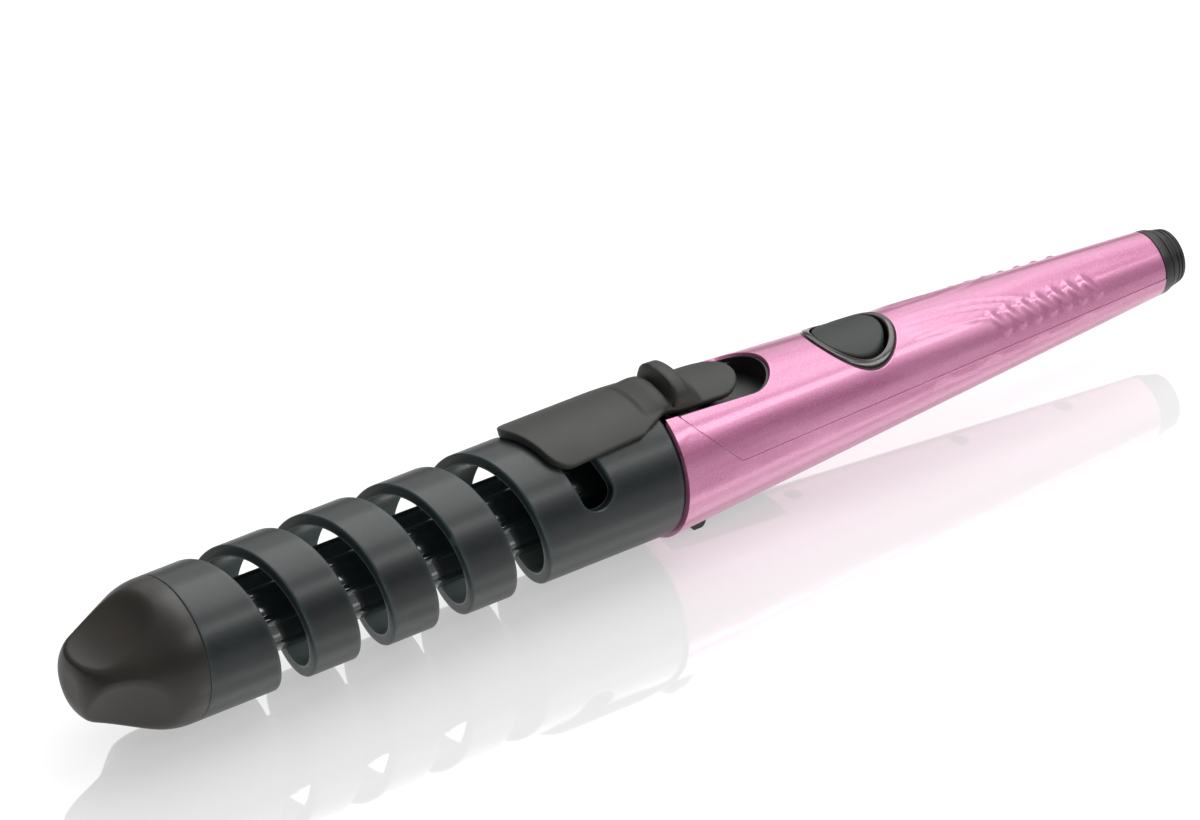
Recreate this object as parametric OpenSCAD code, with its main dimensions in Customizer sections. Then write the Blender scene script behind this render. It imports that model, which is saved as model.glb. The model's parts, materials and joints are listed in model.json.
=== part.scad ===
// Hair curler with a spiral sleeve round a heated barrel, a spring clip and a tapered handle.
// Millimetres. The long axis runs along X: the cool tip points to -X and the cord end to +X.
// Inside each module x is measured along the axis from the seam between sleeve and handle,
// z from the axis, and angles round the axis from the top (+Z) towards -Y.
// placed() then moves the origin to the middle of the footprint, on the surface it rests on.

/* [Spiral sleeve] */
// Outer radius of the sleeve and of the cool tip
sleeve_r = 19; // [18:0.5:20]
// Wall thickness of the sleeve
sleeve_wall = 3; // [2.5:0.1:3.2]
// Distance from the handle to the seam with the cool tip
sleeve_len = 143; // [141:1:146]
// Advance of the spiral slot for each turn
slot_pitch = 23.46; // [22:0.1:24]
// Width of the slot along the axis
slot_w = 9.8; // [8:0.1:10.5]
// Front edge of the first gap on the top line, measured from the handle
slot_lead = 128.7; // [128:0.1:130]
// Angle at which the slot begins
slot_from = -120; // [-130:5:-100]
// Angle at which the straight part of the slot ends
slot_to = 1500; // [1490:5:1510]

/* [Heated barrel] */
// Radius of the barrel between its ribs
barrel_r = 10.1; // [9.8:0.1:10.4]
// Number of lengthwise ribs
rib_count = 8; // [6:1:10]
// Radius of the bore that holds the heater
barrel_bore_r = 8.3; // [8.2:0.05:8.5]

/* [Cool tip] */
// Length of the cool tip ahead of the sleeve
tip_len = 28; // [27:0.5:32]
// Length of the tip's straight stretch beside the sleeve
tip_shoulder = 5.5; // [4:0.5:7]
// Radius of the rounded nose
nose_round = 9.8; // [9:0.1:10.5]

/* [Handle] */
// Length of the handle shells
handle_len = 160.6; // [158:0.2:164]
// Handle radius beside the sleeve
handle_front_r = 19.9; // [19.6:0.1:20.4]
// Handle radius at the cord end
handle_rear_r = 8.85; // [8.8:0.05:9.4]
// Wall thickness of the shells
shell_wall = 2.2; // [2:0.1:2.3]

/* [Clip] */
// Half of the angle that the clip's front plate covers
clip_half_angle = 38; // [34:1:40]
// Reach of the front plate ahead of the handle, on the top line
clip_reach = 37.2; // [34:0.2:40]
// Thickness of the front plate
clip_t = 2; // [1.6:0.1:2.2]
// Half of the width of the thumb tail
tail_half_w = 8.5; // [8:0.1:8.6]
// Position of the clip's pivot behind the front of the handle
clip_pivot_x = 8; // [7.5:0.1:8.5]
// Height of the clip's pivot above the axis
clip_pivot_z = 14.2; // [14:0.1:14.4]
// Half of the width of the cut-out that the tail moves in
cutout_half_w = 9.7; // [9.6:0.05:9.9]
// Rear end of the cut-out
cutout_end = 37; // [36.5:0.5:38]

/* [Switch] */
// Position of the round switch along the handle
switch_x = 64.4; // [62:0.2:66]
// Outer radius of the bezel
bezel_r = 12; // [11.5:0.1:12.2]
// Radius of the rocker
rocker_r = 9.15; // [8.8:0.05:9.2]
// Tilt of the rocker to each side of level
rocker_tilt = 3.5; // [2:0.5:3.5]

/* [Rest stand] */
// Position of the stand's hinge behind the front of the handle
stand_x = 12.6; // [12.4:0.1:12.8]
// Depth of the stand's hinge below the axis
stand_drop = 15.5; // [15.4:0.1:15.6]
// Length of the tongue behind the hinge
stand_len = 28; // [24:1:29]
// Lowest point of the foot below the axis
foot_drop = 22; // [21.8:0.1:22.2]

/* [Cord outlet] */
// Radius of the bore for the mains cord
cord_bore_r = 3.2; // [2.8:0.1:3.4]
// Overhang of the outlet behind the handle
outlet_len = 8; // [7:0.5:10]

/* [Hidden] */
$fn = 48;

gap = 0.1;            // between pieces of one body that slip together
run = 0.05;           // round a pin or shaft that turns
free = 0.3;           // between bodies that pass each other
cut = 1;              // how far a cutter passes a face
black = "#26282a";
graphite = "#3b4546";
pink = "#d58bb2";
brass = "#c9a75a";
steel = "#b9bcc0";

sleeve_front = -sleeve_len;
sleeve_back = -0.9;
sleeve_bore = sleeve_r - sleeve_wall;
tip_front = sleeve_front - tip_len;
mid_x = (tip_front + handle_len + outlet_len) / 2;
taper = (handle_front_r - handle_rear_r) / handle_len;
taper_angle = atan(taper);
inner = shell_wall / cos(taper_angle);

function handle_r(x) = handle_front_r - taper * x;

module placed() translate([-mid_x, 0, foot_drop]) children();

// Solids along the three axes
module xcyl(r, x0, x1) translate([x0, 0, 0]) rotate([0, 90, 0]) cylinder(r = r, h = x1 - x0);
module xcone(r0, r1, x0, x1) translate([x0, 0, 0]) rotate([0, 90, 0])
    cylinder(r1 = r0, r2 = r1, h = x1 - x0);
module xtube(ro, ri, x0, x1) difference() {
    xcyl(ro, x0, x1);
    xcyl(ri, x0 - cut, x1 + cut);
}
module ycyl(x, z, r, y0, y1) translate([x, y0, z]) rotate([-90, 0, 0]) cylinder(r = r, h = y1 - y0);
module zcyl(x, y, r, z0, z1) translate([x, y, z0]) cylinder(r = r, h = z1 - z0);
module block(x, y, z) translate([x[0], y[0], z[0]]) cube([x[1] - x[0], y[1] - y[0], z[1] - z[0]]);
module around(a) rotate([a, 0, 0]) children();
// A flat outline in X and Z, made as thick as y0 to y1
module side_profile(points, y0, y1) translate([0, y1, 0]) rotate([90, 0, 0])
    linear_extrude(y1 - y0) polygon(points);

// The handle's cone, or one parallel to it, between two stations
module handle_cone(lift, x0, x1) xcone(handle_r(x0) + lift, handle_r(x1) + lift, x0, x1);

// A round tube swept along a list of points, each ring square to the path
function unit(v) = v / norm(v);
function path_dir(p, i) = unit(p[min(i + 1, len(p) - 1)] - p[max(i - 1, 0)]);
function side_of(d) = unit(cross(d, abs(d[1]) < 0.9 ? [0, 1, 0] : [1, 0, 0]));
function sweep_ring(c, d, r, n) = let (u = side_of(d), v = cross(d, u))
    [for (k = [0:n - 1]) c + r * (cos(360 * k / n) * u + sin(360 * k / n) * v)];
module swept(path, r, n = 8) {
    rings = len(path);
    points = [for (i = [0:rings - 1]) each sweep_ring(path[i], path_dir(path, i), r, n)];
    walls = [for (i = [0:rings - 2], k = [0:n - 1])
        [i * n + k, i * n + (k + 1) % n, (i + 1) * n + (k + 1) % n, (i + 1) * n + k]];
    polyhedron(points, concat([[for (k = [n - 1:-1:0]) k]], walls,
        [[for (k = [0:n - 1]) (rings - 1) * n + k]]));
}

// ---- Cool tip -------------------------------------------------------------------------------
tip_plug_r = 12.3;
tip_plug_depth = 7;
nose_steps = 7;
nose_centre = [3, tip_front + nose_round];
shoulder = [sleeve_r, sleeve_front - tip_shoulder];
nose_reach = shoulder - nose_centre;
nose_turn = atan2(nose_reach[0], -nose_reach[1]) - acos(nose_round / norm(nose_reach));
facet_round = 27.4;
facet_x = tip_front - 1.8;
facet_z = 34.1;

// Radial outline of the tip before the finger facets are cut: nose, cone and shoulder
function nose_point(a) = nose_centre + nose_round * [sin(a), -cos(a)];
function nose_outline() = concat([[0, tip_front]],
    [for (i = [0:nose_steps]) nose_point(nose_turn * i / nose_steps)],
    [shoulder, [sleeve_r, sleeve_front], [0, sleeve_front]]);

module finger_facet() ycyl(facet_x, facet_z, facet_round, -30, 30);

module cool_tip() color("#2b2622") placed() {
    difference() {
        union() {
            difference() {
                rotate([0, 90, 0]) rotate_extrude() polygon(nose_outline());
                for (a = [0, 120, 240]) around(a) finger_facet();
            }
            xcyl(sleeve_bore - gap, sleeve_front - cut, sleeve_front + 5);
        }
        xcyl(tip_plug_r, sleeve_front - tip_plug_depth, sleeve_front + 6);
        xcyl(1.5, sleeve_front - 17, sleeve_front);
    }
}

module tip_screw() color(steel) placed() {
    xcyl(2.8, sleeve_front - 3, sleeve_front - 1);
    xcyl(1.45, sleeve_front - 15, sleeve_front - 2);
}

module barrel_front_plug() color("#8d8a80") placed() difference() {
    union() {
        xcyl(tip_plug_r - gap, sleeve_front - tip_plug_depth, sleeve_front - 3.2);
        xcyl(barrel_bore_r - gap, sleeve_front - 4, sleeve_front + 5);
    }
    xcyl(1.6, sleeve_front - 8, sleeve_front + 6);
    xcyl(3, sleeve_front - 3, sleeve_front + 6);
}

// ---- Spiral sleeve --------------------------------------------------------------------------
slot_steps = 216;
slot_end_r = slot_w / 2 * cos(atan(slot_pitch / (2 * PI * sleeve_r)));
cutter_in = sleeve_bore - 2;
cutter_out = sleeve_r + 2;

function slot_x(a) = -slot_lead + slot_pitch * a / 360;
function slot_angle(i) = slot_from + (slot_to - slot_from) * i / slot_steps;
function slot_section(a) = let (u = [0, -sin(a), cos(a)], x = slot_x(a))
    [[x, 0, 0] + cutter_in * u, [x, 0, 0] + cutter_out * u,
     [x + slot_w, 0, 0] + cutter_out * u, [x + slot_w, 0, 0] + cutter_in * u];

module slot_sweep() {
    points = [for (i = [0:slot_steps]) each slot_section(slot_angle(i))];
    walls = [for (i = [0:slot_steps - 1], k = [0:3]) let (p = i * 4 + k, q = i * 4 + (k + 1) % 4)
        each [[q + 4, p + 4, p], [q, q + 4, p]]];
    last = slot_steps * 4;
    polyhedron(points, concat(walls, [[3, 2, 1, 0], [last, last + 1, last + 2, last + 3]]));
}

module slot_round(a) around(a) zcyl(slot_x(a) + slot_w / 2, 0, slot_end_r, cutter_in, cutter_out);

socket_boss_r = 13.6;
socket_screw_angles = [60, 180, 300];

module spiral_sleeve() color(graphite) placed() difference() {
    union() {
        xtube(sleeve_r, sleeve_bore, sleeve_front, sleeve_back);
        xtube(sleeve_bore + 0.5, 11.4, sleeve_back - 3, sleeve_back);
    }
    slot_sweep();
    slot_round(slot_from);
    slot_round(slot_to);
    for (a = socket_screw_angles) around(a) translate([0, 0, socket_boss_r]) xcyl(1.2, -cut - 4, 0);
}

// ---- Heated barrel and heater ---------------------------------------------------------------
barrel_front = sleeve_front - 3;
barrel_back = -2;
rib_r = 1.6;
rib_centre = 9.1;
heater_front = -134;
heater_back = -22;
ptc_count = 3;
ptc_len = 33;
ptc_step = 35;

module heating_barrel() color("#121416") placed() difference() {
    union() {
        xcyl(barrel_r, barrel_front, barrel_back);
        for (k = [0:rib_count - 1]) around(360 * (k + 0.5) / rib_count)
            translate([0, 0, rib_centre]) xcyl(rib_r, barrel_front + 1, barrel_back - 14);
    }
    xcyl(barrel_bore_r, barrel_front - cut, barrel_back + cut);
}

module heater_block(sign) difference() {
    intersection() {
        xcyl(barrel_bore_r - 0.2, heater_front, heater_back);
        if (sign > 0) block([heater_front, heater_back], [-9, 9], [1.6, 9]);
        else block([heater_front, heater_back], [-9, 9], [-9, -1.6]);
    }
    translate([0, 0, sign * 4.8]) xcyl(1.4, heater_back - 24, heater_back + cut);
}
module heater_block_upper() color("#a9adb0") placed() heater_block(1);
module heater_block_lower() color("#a9adb0") placed() heater_block(-1);

module ptc_plates() color("#6d6259") placed() for (k = [0:ptc_count - 1])
    translate([heater_front + 5 + k * ptc_step, 0, 0]) block([0, ptc_len], [-6.5, 6.5], [-1, 1]);

module electrode(z0, z1, y0, y1) {
    block([heater_front + 4, heater_back - 2], [-6.5, 6.5], [z0, z1]);
    block([heater_back - 3, heater_back + 8], [y0, y1], [z0, z1]);
}
module electrode_upper() color(brass) placed() electrode(1, 1.4, 2, 5);
module electrode_lower() color(brass) placed() electrode(-1.4, -1, -5, -2);

module insulating_films() color("#b5762a") placed() for (z = [1.4, -1.6])
    block([heater_front + 1, heater_back - 1], [-7.4, 7.4], [z, z + 0.2]);

module thermal_fuse() color(steel) placed() translate([0, 0, -4.8])
    xcyl(1.3, heater_back - 20, heater_back - 8);

module thermistor() color("#7a2e22") placed() translate([heater_back - 14, 0, 4.8]) {
    sphere(r = 1.2);
    xcyl(0.7, 0, 10);
}

// Insulated leads from the heater to the board, kept in the handle all the way
lead_r = 0.7;
lead_spread = 3.2;
lead_sides = [[3.5, 1.2], [-3.5, -1.2], [1.5, 4.2], [-1.5, -4.2]];
module heater_leads() color("#c9c4b8") placed()
    for (s = lead_sides) let (wide = s[0] + lead_spread * sign(s[0]))
        swept([[heater_back + 8, s[0], s[1]], [-9, s[0], s[1]], [2, s[0], s[1]], [14, s[0] * 1.2, s[1] * 0.6],
            [28, wide, -2 + s[1] * 0.2], [42, wide, -3.6], [51, wide, -4.2], [55, s[0], -5],
            [58.4, s[0], -5.7]], lead_r);

// ---- Socket between sleeve and handle -------------------------------------------------------
module barrel_socket() color(black) placed() difference() {
    union() {
        xcyl(11.3, -14, 0);
        xcyl(18.2, sleeve_back, 0);
        xcyl(handle_r(3.4) - inner - gap, -cut / 2, 3.4);
        xcyl(7.4, 3, 9);
        xcyl(8.8, 5.8, 9);
    }
    xcyl(barrel_r + gap, -15, barrel_back + 0.1);
    xcyl(5.6, -3, 10);
    for (a = socket_screw_angles) around(a) translate([0, 0, socket_boss_r]) {
        xcyl(1.35, -2, 4);
        xcyl(2.4, 1.4, 4);
    }
    block([-0.4, 4], [-cutout_half_w, cutout_half_w], [9.5, 20]);
}

module socket_screws() color(steel) placed() for (a = socket_screw_angles)
    around(a) translate([0, 0, socket_boss_r]) {
        xcyl(1.2, -3.9, 1.5);
        xcyl(2.2, 1.4, 3);
    }

// ---- Clip -----------------------------------------------------------------------------------
clip_in = sleeve_r + 0.4;
clip_out = clip_in + clip_t;
clip_edge_skew = atan(slot_pitch / (2 * PI * sleeve_r));
clip_neck_x = 1;
clip_shoulder_x = -8;
tail_front = -0.4;
tail_end = 27;
tail_t = 1.8;
tail_lift = 0.5;
hub_r = 2.3;
hub_half_w = 3.1;
ear_r = 1.9;
pin_r = 1.25;
ridge = [[3.4, 18.9], [3.4, 23], [4, 25.2], [5.4, 26.4], [8.8, 26], [10.8, 24.4], [13.2, 19.9],
    [15, 18.9], [15, 18]];
ridge_half_w = 7;
ridge_crown_r = 14;
ridge_crown_z = 12;

// Plan of the front plate: its front edge runs along the spiral, with rounded corners
plate_half_w = clip_out * sin(clip_half_angle);
shoulder_half_w = plate_half_w - 1;
corner_r = 6;
function corner_centre(side) = [-clip_reach + corner_r / cos(clip_edge_skew)
    - side * (plate_half_w - corner_r) * tan(clip_edge_skew), side * (plate_half_w - corner_r)];
function corner_arc(side, from, to) = [for (i = [0:6]) let (a = from + (to - from) * i / 6)
    corner_centre(side) + corner_r * [cos(a), sin(a)]];
module plate_plan() polygon(concat(corner_arc(1, 90, 180 + clip_edge_skew),
    corner_arc(-1, 180 + clip_edge_skew, 270),
    [[clip_shoulder_x, -shoulder_half_w], [clip_neck_x, -tail_half_w], [clip_neck_x + 4, -tail_half_w],
    [clip_neck_x + 4, tail_half_w], [clip_neck_x, tail_half_w], [clip_shoulder_x, shoulder_half_w]]));
module clip_plate() intersection() {
    xtube(clip_out, clip_in, -60, 20);
    linear_extrude(40) plate_plan();
}

module clip_tail() intersection() {
    difference() {
        handle_cone(tail_lift, tail_front, 40);
        handle_cone(tail_lift - tail_t, tail_front - cut, 41);
    }
    linear_extrude(40) union() {
        translate([tail_front, -tail_half_w]) square([tail_end - tail_half_w - tail_front, 2 * tail_half_w]);
        translate([tail_end - tail_half_w, 0]) circle(r = tail_half_w);
    }
}

module clip_ridge() intersection() {
    side_profile(ridge, -ridge_half_w, ridge_half_w);
    translate([0, 0, ridge_crown_z]) xcyl(ridge_crown_r, 0, 20);
}

module hair_clip() color("#3c3d38") placed() difference() {
    union() {
        clip_plate();
        clip_tail();
        clip_ridge();
        ycyl(clip_pivot_x, clip_pivot_z, hub_r, -hub_half_w, hub_half_w);
        block([clip_pivot_x - 1.6, clip_pivot_x + 1.6], [-hub_half_w, hub_half_w], [clip_pivot_z, 18.4]);
    }
    ycyl(clip_pivot_x, clip_pivot_z, pin_r + run, -20, 20);
}

module clip_pivot_pin() color(steel) placed() {
    ycyl(clip_pivot_x, clip_pivot_z, pin_r, -6, 6);
    for (y = [-6.6, 5.8]) ycyl(clip_pivot_x, clip_pivot_z, 1.8, y, y + 0.8);
}

floor_z = 10.8;
floor_t = 1.2;
spring_x = 20;
spring_r = 2.2;
spring_wire = 0.4;
spring_turns = 4;
spring_top = 16.3;
module clip_spring() color(steel) placed() swept(
    [for (i = [0:spring_turns * 16]) let (a = i * 22.5)
        [spring_x + spring_r * cos(a), spring_r * sin(a),
         floor_z + spring_wire + 0.02 + (spring_top - floor_z - 2 * spring_wire) * i / (spring_turns * 16)]],
    spring_wire);

module tray_outline(half_w) {
    translate([2.4, -half_w]) square([cutout_end - cutout_half_w - 2.4, 2 * half_w]);
    translate([cutout_end - cutout_half_w, 0]) circle(r = half_w);
}
module clip_base() color("#1f2122") placed() difference() {
    union() {
        translate([0, 0, floor_z - floor_t]) linear_extrude(floor_t) tray_outline(cutout_half_w - 0.2);
        intersection() {
            difference() {
                translate([0, 0, floor_z - 0.5]) linear_extrude(10) tray_outline(cutout_half_w - 0.2);
                translate([0, 0, floor_z - 1]) linear_extrude(12) tray_outline(cutout_half_w - 0.8);
                block([-5, 4.4], [-20, 20], [0, 30]);
            }
            handle_cone(-0.9, 0, 60);
        }
        for (y = [-5.1, 3.5]) {
            ycyl(clip_pivot_x, clip_pivot_z, ear_r, y, y + 1.6);
            block([clip_pivot_x - ear_r, clip_pivot_x + ear_r], [y, y + 1.6], [floor_z - 0.5, clip_pivot_z]);
        }
        zcyl(spring_x, 0, 1.5, floor_z - 0.5, floor_z + 1.4);
    }
    ycyl(clip_pivot_x, clip_pivot_z, pin_r, -20, 20);
}

// ---- Handle ---------------------------------------------------------------------------------
seam_x = 17.5;
seam_z = 3.2;
screw_x = [47.5, 101, 135];
screw_seat = [-7, -6, -5];
column_r = 3;
pocket_x = [4.2, 16.6];
pocket_half_w = 7.7;
stand_half_w = 5.5;
recess_depth = 2.7;

module handle_wall() difference() {
    handle_cone(0, 0, handle_len);
    handle_cone(-inner, -cut, handle_len + cut);
}
module handle_inside(lift = -0.3) handle_cone(lift, 0, handle_len);

// Space above the seam: a slope down from the front of the cut-out, then nearly level
module above_seam() side_profile([[-2, seam_x + seam_z + 2], [seam_x, seam_z], [handle_len + 2, 0],
    [handle_len + 2, 40], [-2, 40]], -40, 40);

module cutout_prism() translate([0, 0, 4]) linear_extrude(30) {
    translate([-2, -cutout_half_w]) square([cutout_end - cutout_half_w + 2, 2 * cutout_half_w]);
    translate([cutout_end - cutout_half_w, 0]) circle(r = cutout_half_w);
}

// Grip ribs: rounded bars lying aslant on each side
grip_count = 7;
grip_first_x = 105;
grip_step = 5.15;
grip_angle = 52;
grip_slant = 35;
grip_len = 6;
grip_r = 1.1;
module grip_rib(x, side) around(side * grip_angle) translate([x, 0, handle_r(x) - 0.65])
    rotate([0, taper_angle, 0]) rotate([0, 0, side * grip_slant]) {
        ycyl(0, 0, grip_r, -grip_len / 2, grip_len / 2);
        for (y = [-1, 1]) translate([0, y * grip_len / 2, 0]) sphere(r = grip_r);
    }
module grip_ribs() for (k = [0:grip_count - 1], side = [-1, 1])
    grip_rib(grip_first_x + k * grip_step, side);

module handle_upper_shell() color(pink) placed() difference() {
    union() {
        intersection() {
            handle_wall();
            above_seam();
        }
        intersection() {
            handle_inside();
            for (i = [0:2]) zcyl(screw_x[i], 0, column_r, 3.5, 25);
        }
        grip_ribs();
    }
    cutout_prism();
    zcyl(switch_x, 0, bezel_r + gap, 0, 30);
    for (i = [0:2]) zcyl(screw_x[i], 0, 1.1, 0, 7);
}

module stand_pocket() {
    block([pocket_x[0] + 1, pocket_x[1] - 1], [-stand_half_w - free, stand_half_w + free], [-24, -12.4]);
    intersection() {
        block([stand_x, stand_x + stand_len + 0.8], [-stand_half_w - free, stand_half_w + free], [-24, 0]);
        difference() {
            handle_cone(2, stand_x - cut, 60);
            handle_cone(-recess_depth, stand_x - 2 * cut, 61);
        }
    }
}

module handle_lower_shell() color(pink) placed() difference() {
    union() {
        difference() {
            handle_wall();
            above_seam();
        }
        intersection() {
            handle_inside();
            union() {
                for (i = [0:2]) zcyl(screw_x[i], 0, column_r, -25, 3.4);
                block(pocket_x, [-pocket_half_w, pocket_half_w], [-25, -11.4]);
                for (x = [57, 93], y = [-5.5, 5.5]) zcyl(x, y, 1.4, -25, -8.1);
                zcyl(147, 0, 1.5, -25, -5.9);
            }
        }
        difference() {
            intersection() {
                handle_inside();
                block([15, stand_x + stand_len + 2.4], [-7.2, 7.2], [-25, 0]);
            }
            handle_cone(-recess_depth - 1.5, 0, 60);
        }
        difference() {
            intersection() {
                handle_inside();
                block([3.6, 5.6], [-20, 20], [-25, 9]);
            }
            xcyl(7.5, 3, 6);
        }
    }
    cutout_prism();
    stand_pocket();
    ycyl(stand_x, -stand_drop, 1, -7.2, 7.2);
    for (i = [0:2]) {
        zcyl(screw_x[i], 0, 1.4, -25, 5);
        zcyl(screw_x[i], 0, 2.4, -25, screw_seat[i]);
    }
}

module handle_screws() color(steel) placed() for (i = [0:2]) {
    zcyl(screw_x[i], 0, 2.2, screw_seat[i] - 1.8, screw_seat[i]);
    zcyl(screw_x[i], 0, 1.1, screw_seat[i] - cut, 6.8);
}

// ---- Switch ---------------------------------------------------------------------------------
bezel_bore = rocker_r + 0.8;
bezel_bottom = 3.2;
rocker_pivot_z = 7.5;
module switch_bezel() color("#2a2324") placed() difference() {
    intersection() {
        zcyl(switch_x, 0, bezel_r, bezel_bottom, 30);
        handle_cone(0.5, switch_x - 20, switch_x + 20);
    }
    zcyl(switch_x, 0, bezel_bore, 0, 31);
    ycyl(switch_x, rocker_pivot_z, 1 + run, -bezel_r + 0.6, bezel_r - 0.6);
}

module about_rocker(a) translate([switch_x, 0, rocker_pivot_z]) rotate([0, a, 0])
    translate([-switch_x, 0, -rocker_pivot_z]) children();
module switch_rocker() color("#2c332d") placed() about_rocker(-rocker_tilt) {
    intersection() {
        zcyl(switch_x, 0, rocker_r, rocker_pivot_z - 2, 30);
        handle_cone(0.3, switch_x - 20, switch_x + 20);
    }
    ycyl(switch_x, rocker_pivot_z, 1, -bezel_r + 0.9, bezel_r - 0.9);
    block([switch_x - 2, switch_x + 2], [-1.5, 1.5], [rocker_pivot_z - 3.4, rocker_pivot_z]);
}

module switch_body() color("#d8d4c8") placed() difference() {
    block([switch_x - 8, switch_x + 8], [-8, 8], [-2.8, bezel_bottom - 0.1]);
    block([switch_x - 6.6, switch_x + 6.6], [-6.6, 6.6], [-1.4, bezel_bottom + 1]);
}
module switch_terminals() color(brass) placed() for (x = [-4.4, 4.4])
    block([switch_x + x - 1.6, switch_x + x + 1.6], [-0.4, 0.4], [-5.4, -2.8]);

// ---- Board and leads ------------------------------------------------------------------------
board_top = -6.5;
module circuit_board() color("#2f6b3c") placed() block([54, 96], [-7, 7], [board_top - 1.6, board_top]);
module film_capacitor() color("#c8b23a") placed() block([78, 90], [-5.6, 0.4], [board_top, 0.5]);
module triac() color("#1c1c1e") placed() {
    block([80, 84.4], [2, 6.6], [board_top + 2, board_top + 8]);
    for (y = [2.8, 4.3, 5.8]) block([81.6, 82.4], [y - 0.3, y + 0.3], [board_top, board_top + 2.5]);
}
module board_resistors() color("#b08d62") placed() for (x = [60, 65, 70])
    translate([x, 0, board_top + 1]) ycyl(0, 0, 1, -6, -1.5);

module power_leads() color("#202224") placed() for (y = [-1, 1]) {
    swept([[144 + 2.5 * y, 3 * y, -4.2], [141, 4.4 * y, -3.2], [135, 4.9 * y, -2.6], [118, 5.2 * y, -3],
        [101, 5.4 * y, -3.6], [95, 5 * y, -4.6], [93, 4 * y, -5.6]], 0.8);
}

// ---- Rest stand -----------------------------------------------------------------------------
foot_x = stand_x + 0.8;
foot_r = 2.4;
module rest_stand() color(black) placed() difference() {
    union() {
        ycyl(stand_x, -stand_drop, 2.4, -stand_half_w, stand_half_w);
        intersection() {
            union() {
                ycyl(foot_x, -foot_drop + 2.1, foot_r, -stand_half_w, stand_half_w);
                block([stand_x - 1.6, foot_x + 1.8], [-stand_half_w, stand_half_w],
                    [-foot_drop + 2, -stand_drop]);
            }
            block([0, 30], [-30, 30], [-foot_drop, 0]);
        }
        intersection() {
            block([stand_x, stand_x + stand_len], [-stand_half_w, stand_half_w], [-24, -8]);
            difference() {
                handle_cone(-0.2, 0, 60);
                handle_cone(-recess_depth + 0.4, -1, 61);
            }
        }
        block([stand_x, stand_x + 2.2], [-stand_half_w, stand_half_w],
            [-handle_r(stand_x) + 0.9, -stand_drop]);
    }
    ycyl(stand_x, -stand_drop, 1 + run, -20, 20);
}
module stand_pin() color(steel) placed() ycyl(stand_x, -stand_drop, 1, -7.2, 7.2);

// ---- Cord outlet ----------------------------------------------------------------------------
neck_r = 4.6;
cap_back = handle_len + 2.8;
module end_cap() color(black) placed() difference() {
    union() {
        xcone(handle_rear_r, handle_rear_r - 0.25, handle_len, cap_back);
        xcyl(handle_rear_r - inner - gap, handle_len - 4, handle_len + cut);
    }
    xcyl(neck_r + run, handle_len - 5, cap_back + cut);
}

module swivel_gland() color(black) placed() difference() {
    union() {
        xcone(handle_rear_r - 0.6, handle_rear_r - 1.7, cap_back + free, handle_len + outlet_len);
        xcyl(neck_r, handle_len - 6, cap_back + cut);
        xcyl(6, handle_len - 7.2, handle_len - 4 - free);
    }
    xcyl(cord_bore_r, handle_len - 4.1, handle_len + outlet_len + cut);
}

module slip_ring_spindle() color("#d9d2bf") placed() xcyl(2.5, handle_len - 19, handle_len - 7.2);
module slip_rings() color(brass) placed() for (x = [143, 148]) xtube(3.9, 2.5, x, x + 2.4);

module brush_holder() color("#d9d2bf") placed() block([141.5, 152.5], [-3.8, 3.8], [-5.9, -5]);
module brush_contacts() color(brass) placed() for (x = [143.2, 148.2])
    block([x, x + 2], [-1.4, 1.4], [-5, -4.2]);

cool_tip();
tip_screw();
barrel_front_plug();
spiral_sleeve();
heating_barrel();
heater_block_upper();
heater_block_lower();
ptc_plates();
electrode_upper();
electrode_lower();
insulating_films();
thermal_fuse();
thermistor();
heater_leads();
barrel_socket();
socket_screws();
hair_clip();
clip_pivot_pin();
clip_spring();
clip_base();
handle_upper_shell();
handle_lower_shell();
handle_screws();
switch_bezel();
switch_rocker();
switch_body();
switch_terminals();
circuit_board();
film_capacitor();
triac();
board_resistors();
power_leads();
rest_stand();
stand_pin();
end_cap();
swivel_gland();
slip_ring_spindle();
slip_rings();
brush_holder();
brush_contacts();
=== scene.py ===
"""Hair curler with a spiral sleeve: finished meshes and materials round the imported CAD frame.

Lengths are in millimetres, measured like the CAD model: x along the axis from the junction of sleeve and
handle, r out from the axis, and angles round it from the top towards -Y. at() and spot() turn them into
points of the frame, in metres.
"""
import json
import math

import bmesh
import bpy
import numpy as np
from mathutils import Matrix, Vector
from mathutils.geometry import delaunay_2d_cdt
from mathutils.kdtree import KDTree


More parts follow.
